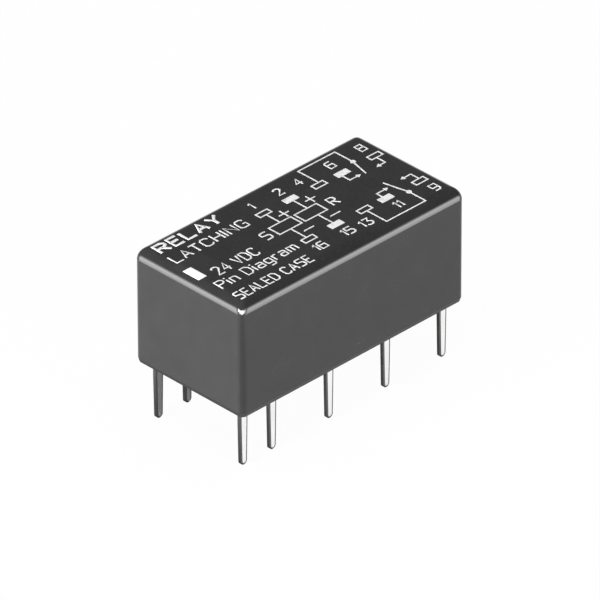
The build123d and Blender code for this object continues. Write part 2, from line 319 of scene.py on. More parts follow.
@dataclass(frozen=True)
class CaseFinish(Finish):
    """Satin black moulding of the cover: a rubbed patch round the print's mark, specks and hairline marks.

    A shade is a share of the colour, and a pair of noise values says where a mark starts and is full.
    """

    top_mm: float = 8.5
    top_band_mm: Point = (0.3, 0.1)  # how far below the top the specks and the patch start and are full
    spread: float = 0.12  # how far the roughness strays, as a share of itself
    rim_mm: Point = (0.3, 0.03)  # height of the dull rim, and half the width of its border
    # painted shade: how dark the bottom rim's colour is made, standing in for the shade under the case
    rim_painted_shade: float = 0.3
    rim_roughness: float = 0.4
    patch_mm: Point = (-8.7, 0.4)
    patch_size_mm: Point = (1.3, 1.15)  # half of its length and width
    patch_soft_mm: float = 0.12
    patch_stray_mm: Point = (0.25, 0.9)  # how far its border strays, and over which length
    patch_shade: float = 1.5
    patch_share: float = 0.6
    patch_roughness: float = 0.06
    speck_mm: float = 0.16
    speck_noise: Point = (0.45, 0.8)
    speck_shade: float = 1.5
    hair_mm: float = 9.0
    hair_turn: Triple = (0.4, 0.2, 0.9)  # turns about the three axes, in radians
    hair_squeeze: Triple = (1.0, 14.0, 5.0)  # how much finer the marks are along each axis
    hair_noise: Point = (0.7, 0.74)
    relief: float = 0.6  # share of the grain's depth that the grain and the marks have

    def patch(self, desk: NodeDesk, x: Socket, y: Socket) -> Socket:
        """Rubbed patch round the mark, with a straying border.

        Args:
            desk: The material being made.
            x: Coordinate along the case.
            y: Coordinate across it.

        Returns:
            The socket with the patch, from 0 to 1.
        """
        stray, length = self.patch_stray_mm
        stray = desk.span(desk.noise(length), *NOISE_ENDS, -stray * MM, stray * MM)
        sides = [
            desk.band(desk.math("ADD", coordinate, stray), middle, half, self.patch_soft_mm)
            for coordinate, middle, half in zip((x, y), self.patch_mm, self.patch_size_mm)
        ]
        return desk.math("MULTIPLY", *sides)

    def dress(self, desk: NodeDesk) -> None:
        """Fills the shader of the material.

        Args:
            desk: The material being made.
        """
        x, y, z = desk.axes(desk.place)
        on_top = desk.span(z, *((self.top_mm - depth) * MM for depth in self.top_band_mm))
        patch = desk.math("MULTIPLY", self.patch(desk, x, y), on_top)
        rim = desk.below(z, *self.rim_mm)
        speck = desk.span(desk.noise(self.speck_mm, detail=2.0), *self.speck_noise)
        speck = desk.math("MULTIPLY", speck, on_top)
        dusty = desk.mix(speck, self.tone(desk), self.shade(self.speck_shade))
        rubbed = desk.mix(desk.math("MULTIPLY", patch, self.patch_share), dusty, self.shade(self.patch_shade))
        # the rim's darker colour is painted shade; the roughness it adds below is the rim's own dull finish
        desk.set(Base_Color=desk.mix(rim, rubbed, self.shade(self.rim_painted_shade)))
        patch = desk.math("MULTIPLY", patch, self.patch_roughness)
        rim = desk.math("MULTIPLY", rim, self.rim_roughness)
        desk.set(Roughness=desk.math("ADD", self.gloss(desk, self.spread), desk.math("ADD", patch, rim)))
        turned = desk.add(
            "Mapping", Vector=desk.place, Rotation=self.hair_turn, Scale=self.hair_squeeze
        ).outputs[0]
        hair = desk.span(desk.noise(self.hair_mm, detail=2.0, place=turned), *self.hair_noise)
        marks = desk.math("SUBTRACT", desk.noise(self.grain_mm, detail=2.0), hair)
        desk.bump(desk.math("MULTIPLY", marks, self.relief), self.grain_depth_mm)


@dataclass(frozen=True)
class TinFinish(Finish):
    """Bright tin on the rolled faces of the terminals, with duller coined and sheared edges, whose dark
    colour is partly painted shade.
    """

    # painted shade: the sides and edges are darker than dull metal alone, standing in for the shaded floor
    # they mirror under the case
    dull_edge_and_shade_colour: Triple = (0.085, 0.085, 0.086)
    edge_roughness: float = 0.42
    edge_turn: Point = (0.965, 0.99)  # how far a normal lies along Y where an edge ends and the face starts
    drawn: float = 9.0  # how much longer than wide the marks of the rolling are

    def dress(self, desk: NodeDesk) -> None:
        """Fills the shader of the material.

        Args:
            desk: The material being made.
        """
        normal = desk.add("TexCoord").outputs["Normal"]
        across = desk.math("ABSOLUTE", desk.axes(normal)[1])
        edge = desk.span(across, *self.edge_turn, 1.0, 0.0)
        # the sides and edges get the dark colour: partly the sheared metal's own, partly painted shade
        desk.set(Base_Color=desk.mix(edge, self.tone(desk), self.dull_edge_and_shade_colour))
        gap = desk.math("MULTIPLY", edge, self.edge_roughness - self.roughness)
        desk.set(Roughness=desk.math("ADD", self.gloss(desk), gap))
        scale = (self.drawn, self.drawn, 1)
        squeezed = desk.add("Mapping", Vector=desk.place, Scale=scale).outputs[0]
        desk.bump(desk.noise(self.grain_mm * self.drawn, place=squeezed), self.grain_depth_mm)


@dataclass(frozen=True)
class WireFinish(Finish):
    """Enamelled copper wire, wound in close turns along X."""

    wire_mm: float = 0.1  # its thickness, and the pitch of the turns
    # painted shade: how dark the grooves between the turns are coloured
    groove_painted_shade: float = 0.35
    groove_end: float = 0.5  # height on a turn, from 0 to 1, at which the groove ends
    enamel: Point = (0.6, 0.12)  # weight and roughness
    relief: float = 0.4  # depth of the grooves, as a share of the thickness

    def dress(self, desk: NodeDesk) -> None:
        """Fills the shader of the material.

        Args:
            desk: The material being made.
        """
        turn = desk.math("FRACT", desk.math("DIVIDE", desk.axes(desk.place)[0], self.wire_mm * MM))
        height = desk.math("SINE", desk.math("MULTIPLY", turn, math.pi))
        clear = desk.span(height, 0.0, self.groove_end)
        # painted shade darkens the grooves between the turns, besides their bump
        desk.set(Base_Color=desk.mix(clear, self.shade(self.groove_painted_shade), self.tone(desk)))
        desk.set(Roughness=self.gloss(desk), Coat_Weight=self.enamel[0], Coat_Roughness=self.enamel[1])
        desk.bump(height, self.wire_mm * self.relief)


@dataclass(frozen=True)
class InkFinish(Finish):
    """White pad-printing ink, a little thinner and greyer in places."""

    thin_mm: float = 0.25
    thin_noise: Point = (0.42, 0.72)  # where a thin place starts and is full
    thin_share: float = 0.7
    thin_shade: float = 0.55

    def dress(self, desk: NodeDesk) -> None:
        """Fills the shader of the material.

        Args:
            desk: The material being made.
        """
        thin = desk.span(desk.noise(self.thin_mm), *self.thin_noise, 0.0, self.thin_share)
        desk.set(Base_Color=desk.mix(thin, self.tone(desk), self.shade(self.thin_shade)))
        desk.set(Roughness=self.gloss(desk))
        desk.bump(desk.noise(self.grain_mm), self.grain_depth_mm)


FINISHES: dict[str, Finish] = {
    "case_plastic": CaseFinish("satin_black_case", (0.021, 0.0211, 0.0216), 0.13, grain_depth_mm=0.0004),
    "base_plastic": Finish("black_base", (0.03, 0.03, 0.031), 0.38),
    "sealing_epoxy": Finish("cured_epoxy", (0.1, 0.097, 0.086), 0.16, ior=1.55, grain_mm=0.9, mottle=0.3),
    "bobbin_plastic": Finish("cream_bobbin", (0.6, 0.57, 0.47), 0.42),
    "holder_plastic": Finish("ivory_holder", (0.72, 0.69, 0.6), 0.4),
    "copper_wire": WireFinish("enamelled_copper", (0.62, 0.25, 0.1), 0.3, metallic=0.9),
    "soft_iron": Finish("annealed_iron", (0.42, 0.42, 0.43), 0.38, metallic=1.0, grain_mm=0.2),
    "magnet": Finish("ground_magnet", (0.09, 0.09, 0.095), 0.5, metallic=0.4, grain_mm=0.08),
    "spring_bronze": Finish("rolled_bronze", (0.72, 0.5, 0.26), 0.24, metallic=1.0, grain_mm=0.3),
    "contact_silver": Finish("polished_contact", (0.86, 0.84, 0.78), 0.14, metallic=1.0),
    "tinned_strip": TinFinish(
        "bright_tin", (0.92, 0.92, 0.91), 0.12, metallic=1.0, grain_depth_mm=0.0006, mottle=0.04
    ),
    "top_print": InkFinish(
        "white_ink", (0.86, 0.86, 0.85), 0.5, grain_mm=0.05, mottle=0.05, mottle_mm=0.5
    ),
}


@dataclass
class Workshop:
    """What every sub-assembly needs to make a piece: the materials and short forms of the modelling steps."""

    materials: dict[str, bpy.types.Material]

    @staticmethod
    def clear() -> None:
        """Deselects every object."""
        bpy.ops.object.select_all(action="DESELECT")

    @staticmethod
    def edit(mode: str = "FACE") -> None:
        """Enters edit mode on the active object, with everything selected.

        Args:
            mode: VERT, EDGE or FACE.
        """
        bpy.ops.object.mode_set(mode="EDIT")
        bpy.ops.mesh.select_mode(type=mode)
        bpy.ops.mesh.select_all(action="SELECT")

    @staticmethod
    def leave() -> None:
        """Goes back to object mode."""
        bpy.ops.object.mode_set(mode="OBJECT")

    @staticmethod
    def settle() -> None:
        """Applies the active object's place, turn and size to its mesh."""
        bpy.ops.object.transform_apply(location=True, rotation=True, scale=True)

    def pick_edges(self, chosen: Callable[[Vector, Vector], bool]) -> None:
        """Selects edges of the active mesh in edit mode by where they lie.

        Args:
            chosen: Says of an edge's two ends, in metres, whether it is selected.
        """
        bpy.ops.mesh.select_mode(type="EDGE")
        bpy.ops.mesh.select_all(action="DESELECT")
        self.leave()
        mesh = bpy.context.object.data
        for edge in mesh.edges:
            edge.select = chosen(*(mesh.vertices[i].co for i in edge.vertices))
        bpy.ops.object.mode_set(mode="EDIT")

    def flat(self, place: Triple, size: Point, turn: float = 0.0, points: int = 0) -> Piece:
        """Adds a flat plate or disc, in millimetres.

        Args:
            place: Its middle.
            size: A plate's length and width, or a disc's two radii, before it is turned.
            turn: Turn about Z, in radians.
            points: How many points a disc's edge has, or 0 for a plate.

        Returns:
            The piece, with its place in its mesh.
        """
        self.clear()
        stand = {"location": [side * MM for side in place], "rotation": (0, 0, turn)}
        if points:
            bpy.ops.mesh.primitive_circle_add(vertices=points, radius=1, fill_type="NGON", **stand)
        else:
            bpy.ops.mesh.primitive_plane_add(size=1, **stand)
        piece = bpy.context.object
        piece.scale = (size[0] * MM, size[1] * MM, 1)
        self.settle()
        return piece

    def join(self, pieces: Sequence[Piece], name: str) -> Piece:
        """Joins pieces into one object.

        Args:
            pieces: What to join.
            name: Name of the result.

        Returns:
            The joined object.
        """
        self.clear()
        for piece in pieces:
            piece.select_set(True)
        bpy.context.view_layer.objects.active = pieces[0]
        if len(pieces) > 1:
            bpy.ops.object.join()
        whole = bpy.context.object
        whole.name = name
        whole.data.name = name
        return whole

    def hand_over(self, piece: Piece, slot: str) -> None:
        """Dresses a finished piece and hands it to the housing, which carries it.

        Args:
            piece: The piece.
            slot: Material slot that gives its finish.
        """
        piece.data.materials.clear()
        piece.data.materials.append(self.materials[slot])
        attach(piece, HOUSING)
        triangles = sum(len(polygon.vertices) - 2 for polygon in piece.data.polygons)
        log.info("%s: %d triangles on %s", piece.name, triangles, HOUSING)


@dataclass
class ModelDresser:
    """Gives every node of the model its finish."""

    frame: dict
    materials: dict[str, bpy.types.Material]

    def dress(self) -> None:
        """Assigns each node the material of its slot in the record."""
        slots = {part["node"]: part["material_slot"] for part in self.frame["record"]["subparts"]}
        for name, node in self.frame["nodes"].items():
            node.data.materials.clear()
            node.data.materials.append(self.materials[slots[name]])
            log.info("%s wears %s", name, slots[name])


@dataclass(frozen=True)
class TerminalMark:
    """One terminal in the wiring diagram: its number and its small box, in millimetres on the top."""

    number: str
    label: Point  # middle of the number
    box: Point  # middle of the box
    pad: Pad


@dataclass(frozen=True)
class CoilMark:
    """One winding in the wiring diagram: its letter, the places of its marks and its two terminals."""

    letter: str
    letter_at: Point
    middle: Point
    plus_at: Point
    minus_at: Point
    rear: TerminalMark
    front: TerminalMark


@dataclass(frozen=True)
class SwitchMark:
    """One changeover contact in the wiring diagram, in millimetres on the top."""

    row: Row
    common: TerminalMark
    rest: TerminalMark  # closed after a reset
    work: TerminalMark  # closed after a set
    riser_x: float  # the line that leaves the common terminal's box
    rail_y: float  # the line along the case's edge
    hinge: Point  # the dot on which the moving contact turns
    tip: Point  # free end of the moving contact
    rest_hook: Triple  # X of the hook's line, Y of its corner, X of its arrow's tip
    work_hook: Triple


@dataclass(frozen=True)
class Wording:
    """Characters in one line, in millimetres on the top."""

    text: str
    middle: Point
    height: float  # of its capitals, between the middle lines of their strokes
    line: float  # width of its strokes
    length: float | None = None  # None for the natural one


@dataclass(frozen=True)
class StrokeAlphabet:
    """Plain single-stroke characters, as an engraving machine draws them.

    A row holds a character and its strokes, parted by slashes, as points x,y from its lower left corner.
    """

    rise: float = 6.0  # height of a capital
    gap: float = 1.7
    blank: float = 3.0  # width of a space
    least: float = 0.1  # width of a character that is one upright stroke
    characters: tuple[str, ...] = (
        "1 0,4.7 1.2,6 1.2,0",
        "2 0,5 1,6 3,6 4,5 4,4 0,0 4,0",
        "3 0,6 4,6 2,3.6 4,2.4 4,1 3,0 1,0 0,0.8",
        "4 3,0 3,6 0,2 4,2",
        "5 4,6 0,6 0,3.5 3,3.5 4,2.5 4,1 3,0 0,0",
        "6 4,6 1,6 0,5 0,0 4,0 4,3.4 0,3.4",
        "8 0,0 4,0 4,6 0,6 0,0 / 0,3.2 4,3.2",
        "9 0,0 3,0 4,1 4,6 0,6 0,2.7 4,2.7",
        "A 0,0 2,6 4,0 / 0.7,2 3.3,2",
        "C 4,5 3,6 1,6 0,5 0,1 1,0 3,0 4,1",
        "D 0,0 0,6 2.6,6 4,4.6 4,1.4 2.6,0 0,0",
        "E 3.6,6 0,6 0,0 3.6,0 / 0,3.1 3,3.1",
        "G 4,5 3,6 1,6 0,5 0,1 1,0 4,0 4,2.8 2.4,2.8",
        "H 0,0 0,6 / 4,0 4,6 / 0,3 4,3",
        "I 0,0 0,6",
        "L 0,6 0,0 3.6,0",
        "N 0,0 0,6 4,0 4,6",
        "P 0,0 0,6 3,6 4,5.2 4,3.8 3,3 0,3",
        "R 0,0 0,6 3,6 4,5.2 4,3.8 3,3 0,3 / 1.8,3 4,0",
        "S 4,6 0.8,6 0,5.2 0,3.6 3.3,3.2 4,2.4 4,0.8 3.2,0 0,0",
        "T 0,6 4,6 / 2,6 2,0",
        "V 0,6 2,0 4,6",
        "Y 0,6 2,3 4,6 / 2,3 2,0",
        "a 0.2,4 2.6,4 3.2,3.4 3.2,0 0.6,0 0,0.8 0,1.7 0.6,2.3 3.2,2.3",
        "g 3.2,0.4 0.6,0.4 0,1.2 0,3.3 0.6,4 3.2,4 3.2,-1 2.6,-1.7 0.2,-1.7",
        "i 0,0 0,4 / 0,5.2 0,5.8",
        "m 0,0 0,4 1.7,4 2.2,3.4 2.2,0 / 2.2,3.4 2.8,4 3.9,4 4.4,3.4 4.4,0",
        "n 0,0 0,4 2.5,4 3.2,3.3 3.2,0",
        "r 0,0 0,4 / 0,3 1,4 2.2,4",
    )

    def strokes(self, text: str) -> tuple[list[list[Vector]], float]:
        """Sets a line of text.

        Args:
            text: What it says.

        Returns:
            Its strokes, from the lower left corner of the first character, and its length.
        """
        strokes, edge = [], 0.0
        for character in text:
            if character == " ":
                edge += self.blank
                continue
            row = next(row for row in self.characters if row[0] == character)
            lines = [
                [tuple(map(float, point.split(","))) for point in line.split()] for line in row[1:].split("/")
            ]
            strokes += [[Vector((x + edge, y)) for x, y in line] for line in lines]
            edge += max(self.least, *(x for line in lines for x, _ in line)) + self.gap
        return strokes, edge - self.gap


@dataclass
class TopPrint:
    """White print on the top of the cover: the wiring diagram, the terminal numbers and plain lettering."""

    shop: Workshop
    line: float = 0.096
    ink: float = 0.012
    sink: float = 0.002  # how far the ink reaches into the top
    crossing: float = 0.25  # share of the ink by which a line is raised where it crosses another
    on_line: float = 0.5  # the same for a dot or an arrow on a line
    corner: float = 0.03  # rounding of strokes and filled boxes
    corner_steps: int = 3
    edge_steps: int = 1  # rounding of the edges of characters
    pad_size: Point = (1.1, 0.55)  # a terminal's box
    coil_size: Point = (2.04, 1.12)
    digit_height: float = 0.74
    digit_line: float = 0.136  # width of the strokes of numbers and of the windings' letters
    letter_height: float = 0.84
    sign_length: float = 0.88
    dot_radius: float = 0.19  # the dot on which a moving contact turns
    dot_points: int = 20
    arrow_length: float = 0.42
    flat_margin: float = 1.1  # how near to the case's sides print may lie on a rounded edge
    longest: float = 0.2  # longest edge that such print keeps undivided
    cuts: int = 5
    # From the case to the camera: print is laid on the rounded edges along it
    sight: Triple = (-0.592, -0.6, 0.538)
    mark_at: Point = (-9.4, -0.12)
    mark_size: Point = (0.72, 1.44)
    coils: tuple[CoilMark, ...] = (
        CoilMark(
            "S", (-3.1, -0.11), (-1.4, -0.1), (-0.47, 0.97), (-0.58, -1.39),
            TerminalMark("1", (-1.31, 3.03), (-1.35, 1.9), Pad.OPEN),
            TerminalMark("16", (-1.52, -3.33), (-1.43, -2.26), Pad.OPEN),
        ),
        CoilMark(
            "R", (2.8, -0.14), (0.85, -0.12), (1.93, 1.04), (1.82, -1.33),
            TerminalMark("2", (1.1, 3.06), (1.04, 1.91), Pad.FILLED),
            TerminalMark("15", (0.96, -3.33), (0.97, -2.23), Pad.FILLED),
        ),
    )
    switches: tuple[SwitchMark, ...] = (
        SwitchMark(
            Row.REAR,
            TerminalMark("4", (2.79, 3.03), (3.54, 1.84), Pad.OPEN),
            TerminalMark("6", (5.68, 3.03), (5.55, 1.8), Pad.FILLED),
            TerminalMark("8", (8.53, 3.11), (8.51, 1.82), Pad.OPEN),
            3.71, 3.93, (7.0, 2.29), (6.61, 0.72), (5.31, 0.86, 6.28), (8.42, 0.8, 7.62),
        ),
        SwitchMark(
            Row.FRONT,
            TerminalMark("13", (2.47, -3.42), (3.49, -2.26), Pad.OPEN),
            TerminalMark("11", (5.47, -3.32), (5.39, -2.27), Pad.FILLED),
            TerminalMark("9", (8.54, -3.51), (8.39, -2.32), Pad.OPEN),
            3.49, -4.25, (6.97, -2.77), (6.55, -0.85), (5.35, -1.49, 6.37), (8.55, -1.35, 7.63),
        ),
    )
    lettering: tuple[Wording, ...] = (
        Wording("RELAY", (-6.435, 3.52), 0.92, 0.24, 5.39),
        Wording("LATCHING", (-6.1, 1.99), 0.87, 0.13, 6.4),
        Wording("24 VDC", (-6.56, -0.87), 0.9, 0.135, 3.62),
        Wording("Pin Diagram", (-5.98, -2.17), 0.86, 0.12, 6.7),
        Wording("SEALED CASE", (-6.175, -3.87), 0.8, 0.125, 6.45),
    )
    alphabet: StrokeAlphabet = StrokeAlphabet()
    top: float = field(init=False, default=0.0)  # height at which the print starts

    def build(self) -> None:
        """Prints the diagram, the numbers, the lettering and the mark on the cover's top."""
        self.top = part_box("cover")[1].z / MM - self.sink
        for name, pieces, flat in (
            ("printed_wiring", self.wiring(), True),
            ("printed_mark", [self.mark()], True),
            ("printed_numbers", [self.write(sign) for sign in self.signs()], False),
            ("printed_lettering", [self.write(wording) for wording in self.lettering], False),
        ):
            whole = self.shop.join(pieces, name)
            if flat:
                self.raise_ink(whole)
            self.drape(whole)
            self.shop.hand_over(whole, "top_print")

    def drape(self, piece: Piece) -> None:
        """Lays raised print on the cover, so that what reaches the rounded edges follows them.

        Args:
            piece: The raised print, which is active.
        """
        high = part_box("cover")[1]
        flat = [side - self.flat_margin * MM for side in (high.x, high.y)]

        def to_divide(start: Vector, end: Vector) -> bool:
            """Whether an edge is long and reaches beyond the flat top."""
            beyond = any(abs(point[i]) > flat[i] for point in (start, end) for i in (0, 1))
            return beyond and (end - start).length > self.longest * MM

        self.shop.edit("EDGE")
        self.shop.pick_edges(to_divide)
        bpy.ops.mesh.subdivide(number_cuts=self.cuts)
        bpy.ops.mesh.select_all(action="SELECT")
        bpy.ops.mesh.quads_convert_to_tris(quad_method="BEAUTY", ngon_method="BEAUTY")
        self.shop.leave()
        cover = bpy.data.objects["cover"]
        sight = Vector(self.sight).normalized()
        for vertex in piece.data.vertices:
            foot = Vector((vertex.co.x, vertex.co.y, high.z))
            hit, place, normal, _ = cover.ray_cast(foot + sight * MM, -sight)
            if hit:
                vertex.co = place + normal * (vertex.co.z - high.z)

    def raise_ink(self, piece: Piece) -> None:
        """Gives flat print the thickness of its ink.

        Args:
            piece: The flat print, which is active.
        """
        modifier = piece.modifiers.new("ink", "SOLIDIFY")
        modifier.thickness = (self.ink + self.sink) * MM
        modifier.offset = 1.0
        bpy.ops.object.modifier_apply(modifier=modifier.name)

    def soften(self, piece: Piece) -> Piece:
        """Rounds the corners of a flat piece, as ink flows.

        Args:
            piece: The flat piece, which is active.

        Returns:
            The same piece.
        """
        self.shop.edit("VERT")
        bpy.ops.mesh.bevel(affect="VERTICES", offset=self.corner * MM, segments=self.corner_steps)
        self.shop.leave()
        return piece

    def mark(self) -> Piece:
        """Prints the orientation mark, divided like a net because it reaches a rounded edge.

        Returns:
            The flat piece.
        """
        piece = self.shop.flat((*self.mark_at, self.top), self.mark_size)
        self.shop.edit()
        bpy.ops.mesh.subdivide(number_cuts=2 * self.cuts)
        self.shop.leave()
        return piece

    def box(self, middle: Point, size: Point, pad: Pad = Pad.OPEN) -> Piece:
        """Prints the outline of a box, or the box filled and with soft corners.

        Args:
            middle: Its middle.
            size: Its length and width, over all.
            pad: Whether it is open or filled.

        Returns:
            The flat piece.
        """
        piece = self.shop.flat((*middle, self.top), size)
        if pad is Pad.FILLED:
            return self.soften(piece)
        self.shop.edit()
        bpy.ops.mesh.inset(thickness=self.line * MM)
        bpy.ops.mesh.delete(type="FACE")
        self.shop.leave()
        return piece

    def stroke(self, start: Point, end: Point, lift: float = 0.0) -> Piece:
        """Prints a straight stroke with soft corners.

        Args:
            start: One end.
            end: The other end.
            lift: How far it is raised.

        Returns:
            The flat piece.
        """
        run = Vector(end) - Vector(start)
        middle = (Vector(start) + Vector(end)) / 2
        place, size = (middle.x, middle.y, self.top + lift), (run.length, self.line)
        return self.soften(self.shop.flat(place, size, math.atan2(run.y, run.x)))

    def route(self, start: Point, steps: Sequence[Point]) -> Piece:
        """Prints a line with square corners, drawn out from a first square by its edges.

        Args:
            start: Where its middle line starts.
            steps: The moves from one corner to the next, each along X or Y.

        Returns:
            The flat piece.
        """
        half = self.line / 2
        piece = self.shop.flat((*start, self.top), (self.line, self.line))
        here = Vector((*start, self.top))
        self.shop.edit("EDGE")
        for step in steps:
            move = Vector((*step, 0))
            way = move.normalized()
            side = (here + way * half) * MM
            self.shop.pick_edges(lambda one, other: ((one + other) / 2 - side).length < SAME_PLACE_MM * MM)
            for length in (move.length - self.line, self.line):
                shift = way * length * MM
                bpy.ops.mesh.extrude_region_move(TRANSFORM_OT_translate={"value": shift})
            here += move
        self.shop.leave()
        return piece

    def write(self, wording: Wording) -> Piece:
        """Prints a line of characters as raised strokes.

        Args:
            wording: What to print, and where.

        Returns:
            The raised piece.
        """
        strokes, span = self.alphabet.strokes(wording.text)
        tall = wording.height / self.alphabet.rise
        wide = tall if wording.length is None else wording.length / span
        curve = bpy.data.curves.new("lettering", "CURVE")
        curve.dimensions = "3D"
        curve.bevel_depth = wording.line / 2 * MM
        curve.bevel_resolution = self.edge_steps
        curve.use_fill_caps = True
        for stroke in strokes:
            closed = stroke[0] == stroke[-1]
            points = stroke[:-1] if closed else stroke
            spline = curve.splines.new("POLY")
            spline.points.add(len(points) - 1)
            spline.use_cyclic_u = closed
            for point, (x, y) in zip(spline.points, points):
                point.co = ((x - span / 2) * wide * MM, (y - self.alphabet.rise / 2) * tall * MM, 0, 1)
        self.shop.clear()
        piece = bpy.data.objects.new("lettering", curve)
        bpy.context.scene.collection.objects.link(piece)
        piece.select_set(True)
        bpy.context.view_layer.objects.active = piece
        bpy.ops.object.convert(target="MESH")
        piece = bpy.context.object
        thick = self.ink + self.sink
        piece.scale = (1, 1, thick / wording.line)
        piece.location = [side * MM for side in (*wording.middle, self.top + thick / 2)]
        self.shop.settle()
        return piece

    def hook(self, start_y: float, bends: Triple) -> list[Piece]:
        """Prints the bent line of a fixed contact, with its arrow.

        Args:
            start_y: Where it leaves the terminal's box.
            bends: X of its line, Y of its corner and X of its arrow's tip.

        Returns:
            The flat pieces.
        """
        x, corner_y, tip_x = bends
        way = math.copysign(1, tip_x - x)
        arrow_x = tip_x - way * self.arrow_length / 2
        down = math.copysign(self.line / 2, corner_y - start_y)
        line = self.route((x, start_y + down), [(0, corner_y - start_y - down), (arrow_x - x, 0)])
        turn = -math.pi / 2 if way > 0 else math.pi / 2
        place, radius = (arrow_x, corner_y, self.top + self.ink * self.on_line), self.arrow_length / 2
        return [line, self.shop.flat(place, (radius, radius), turn, points=3)]

    def wiring(self) -> list[Piece]:
        """Prints the boxes and lines of the wiring diagram.

        Returns:
            The flat pieces.
        """
        pieces = []
        for mark in self.terminal_marks():
            pieces.append(self.box(mark.box, self.pad_size, mark.pad))
        for coil in self.coils:
            pieces.append(self.box(coil.middle, self.coil_size))
            for terminal, side in ((coil.rear, 1), (coil.front, -1)):
                start = terminal.box[1] - side * self.pad_size[1] / 2
                end = coil.middle[1] + side * self.coil_size[1] / 2
                pieces.append(self.stroke((terminal.box[0], start), (terminal.box[0], end)))
            half = self.sign_length / 2
            for x, y in (coil.plus_at, coil.minus_at):
                pieces.append(self.stroke((x - half, y), (x + half, y)))
            x, y = coil.plus_at
            pieces.append(self.stroke((x, y - half), (x, y + half), self.ink * self.crossing))
        for switch in self.switches:
            pieces += self.switch(switch)
        return pieces

    def switch(self, switch: SwitchMark) -> list[Piece]:
        """Prints the lines of one changeover contact.

        Args:
            switch: The contact.

        Returns:
            The flat pieces.
        """
        side = switch.row.value
        half = self.line / 2
        start = (switch.riser_x, switch.common.box[1] + side * (self.pad_size[1] / 2 + half))
        rail = [
            (0, switch.rail_y - start[1]),
            (switch.hinge[0] - switch.riser_x, 0),
            (0, switch.hinge[1] - switch.rail_y),
        ]
        pieces = [self.route(start, rail)]
        dot_at = (*switch.hinge, self.top + self.ink * self.on_line)
        pieces.append(self.shop.flat(dot_at, (self.dot_radius, self.dot_radius), points=self.dot_points))
        pieces.append(self.stroke(switch.hinge, switch.tip, self.ink * self.crossing))
        for terminal, hook in ((switch.rest, switch.rest_hook), (switch.work, switch.work_hook)):
            pieces += self.hook(terminal.box[1] - side * self.pad_size[1] / 2, hook)
        return pieces

    def terminal_marks(self) -> list[TerminalMark]:
        """Every terminal of the diagram, first the windings' and then the contacts'."""
        marks = [mark for coil in self.coils for mark in (coil.rear, coil.front)]
        return marks + [mark for s in self.switches for mark in (s.common, s.rest, s.work)]

    def signs(self) -> list[Wording]:
        """The terminals' numbers and the windings' letters, as what to print and where.

        Returns:
            Their wordings.
        """
        signs = [(mark.number, mark.label, self.digit_height) for mark in self.terminal_marks()]
        signs += [(coil.letter, coil.letter_at, self.letter_height) for coil in self.coils]
        return [Wording(*sign, self.digit_line) for sign in signs]


@dataclass
class PottedUnderside:
    """Where the sealing resin climbs up the terminals and the walls of the case, under the relay."""

    shop: Workshop
    row_y: float = 3.81
    pitch: float = 2.54
    places_per_row: int = 8
    places: tuple[int, ...] = (0, 1, 3, 5, 7)  # where a terminal stands, counted from the coil end
    pin_half: Point = (0.33, 0.13)  # half of a terminal's width and thickness
    sides: int = 24
    pool: float = 0.34  # how far a fillet reaches from its terminal
    # Profiles: distance from a terminal and depth there; width of a step and depth at its end
    climb: tuple[Point, ...] = ((0.22, 0.012), (0.13, 0.035), (0.06, 0.07), (0.015, 0.13))
    wall_climb: float = 0.13  # how far the resin reaches down the walls
    wall_reach: tuple[Point, ...] = ((0.05, 0.08), (0.1, 0.035), (0.15, 0.0))
    sink: float = 0.03  # how far fillets start within the resin
    corner: float = 0.35
    corner_steps: int = 4
    smooth_angle: float = 50.0
    level: float = field(init=False, default=0.0)  # height of the resin's face

    def build(self) -> None:
        """Models a fillet round every terminal, and the resin's edge along the walls."""
        self.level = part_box("sealing_resin")[0].z / MM
        pieces = [self.pin_fillet(row, place) for row in Row for place in self.places]
        self.shop.hand_over(self.shop.join([*pieces, self.wall_fillet()], "resin_fillets"), "sealing_epoxy")

    def pin_fillet(self, row: Row, place: int) -> Piece:
        """Models the concave fillet round a terminal.

        Args:
            row: The terminal's row.
            place: Its place in the row, counted from the coil end.

        Returns:
            The fillet.
        """
        x = (place - (self.places_per_row - 1) / 2) * self.pitch
        y = row.value * self.row_y
        size = [half + self.pool for half in self.pin_half]
        fillet = self.shop.flat((x, y, self.level + self.sink), size, points=self.sides)
        self.shop.edit()
        depth = -self.sink
        for reach, drop in self.climb:
            bpy.ops.mesh.extrude_region_move(TRANSFORM_OT_translate={"value": (0, 0, -(drop - depth) * MM)})
            fresh = [half + reach for half in self.pin_half]
            ratio = (fresh[0] / size[0], fresh[1] / size[1], 1)
            bpy.ops.transform.resize(value=ratio, center_override=(x * MM, y * MM, 0))
            size, depth = fresh, drop
        bpy.ops.mesh.select_all(action="SELECT")
        bpy.ops.mesh.normals_make_consistent(inside=False)
        self.shop.leave()
        bpy.ops.object.shade_smooth()
        return fillet

    def wall_fillet(self) -> Piece:
        """Models the concave edge of the resin along the walls.

        Returns:
            The edge, as a closed ring.
        """
        low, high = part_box("sealing_resin")
        middle, size = (low + high) / 2 / MM, (high - low) / MM
        ring = self.shop.flat((middle.x, middle.y, self.level + self.sink), (size.x, size.y))
        self.shop.edit("VERT")
        bpy.ops.mesh.bevel(affect="VERTICES", offset=self.corner * MM, segments=self.corner_steps)
        bpy.ops.mesh.select_mode(type="FACE")
        bpy.ops.mesh.select_all(action="SELECT")
        drop = (0, 0, -(self.sink + self.wall_climb) * MM)
        bpy.ops.mesh.extrude_region_move(TRANSFORM_OT_translate={"value": drop})
        depth = self.wall_climb
        for width, drop in self.wall_reach:
            bpy.ops.mesh.inset(thickness=width * MM, depth=0)
            bpy.ops.transform.translate(value=(0, 0, (depth - drop) * MM))
            depth = drop
        bpy.ops.transform.translate(value=(0, 0, self.sink / 2 * MM))
        bpy.ops.mesh.select_all(action="SELECT")
        bpy.ops.mesh.normals_make_consistent(inside=False)
        self.shop.leave()
        bpy.ops.object.shade_smooth_by_angle(angle=math.radians(self.smooth_angle))
        return ring


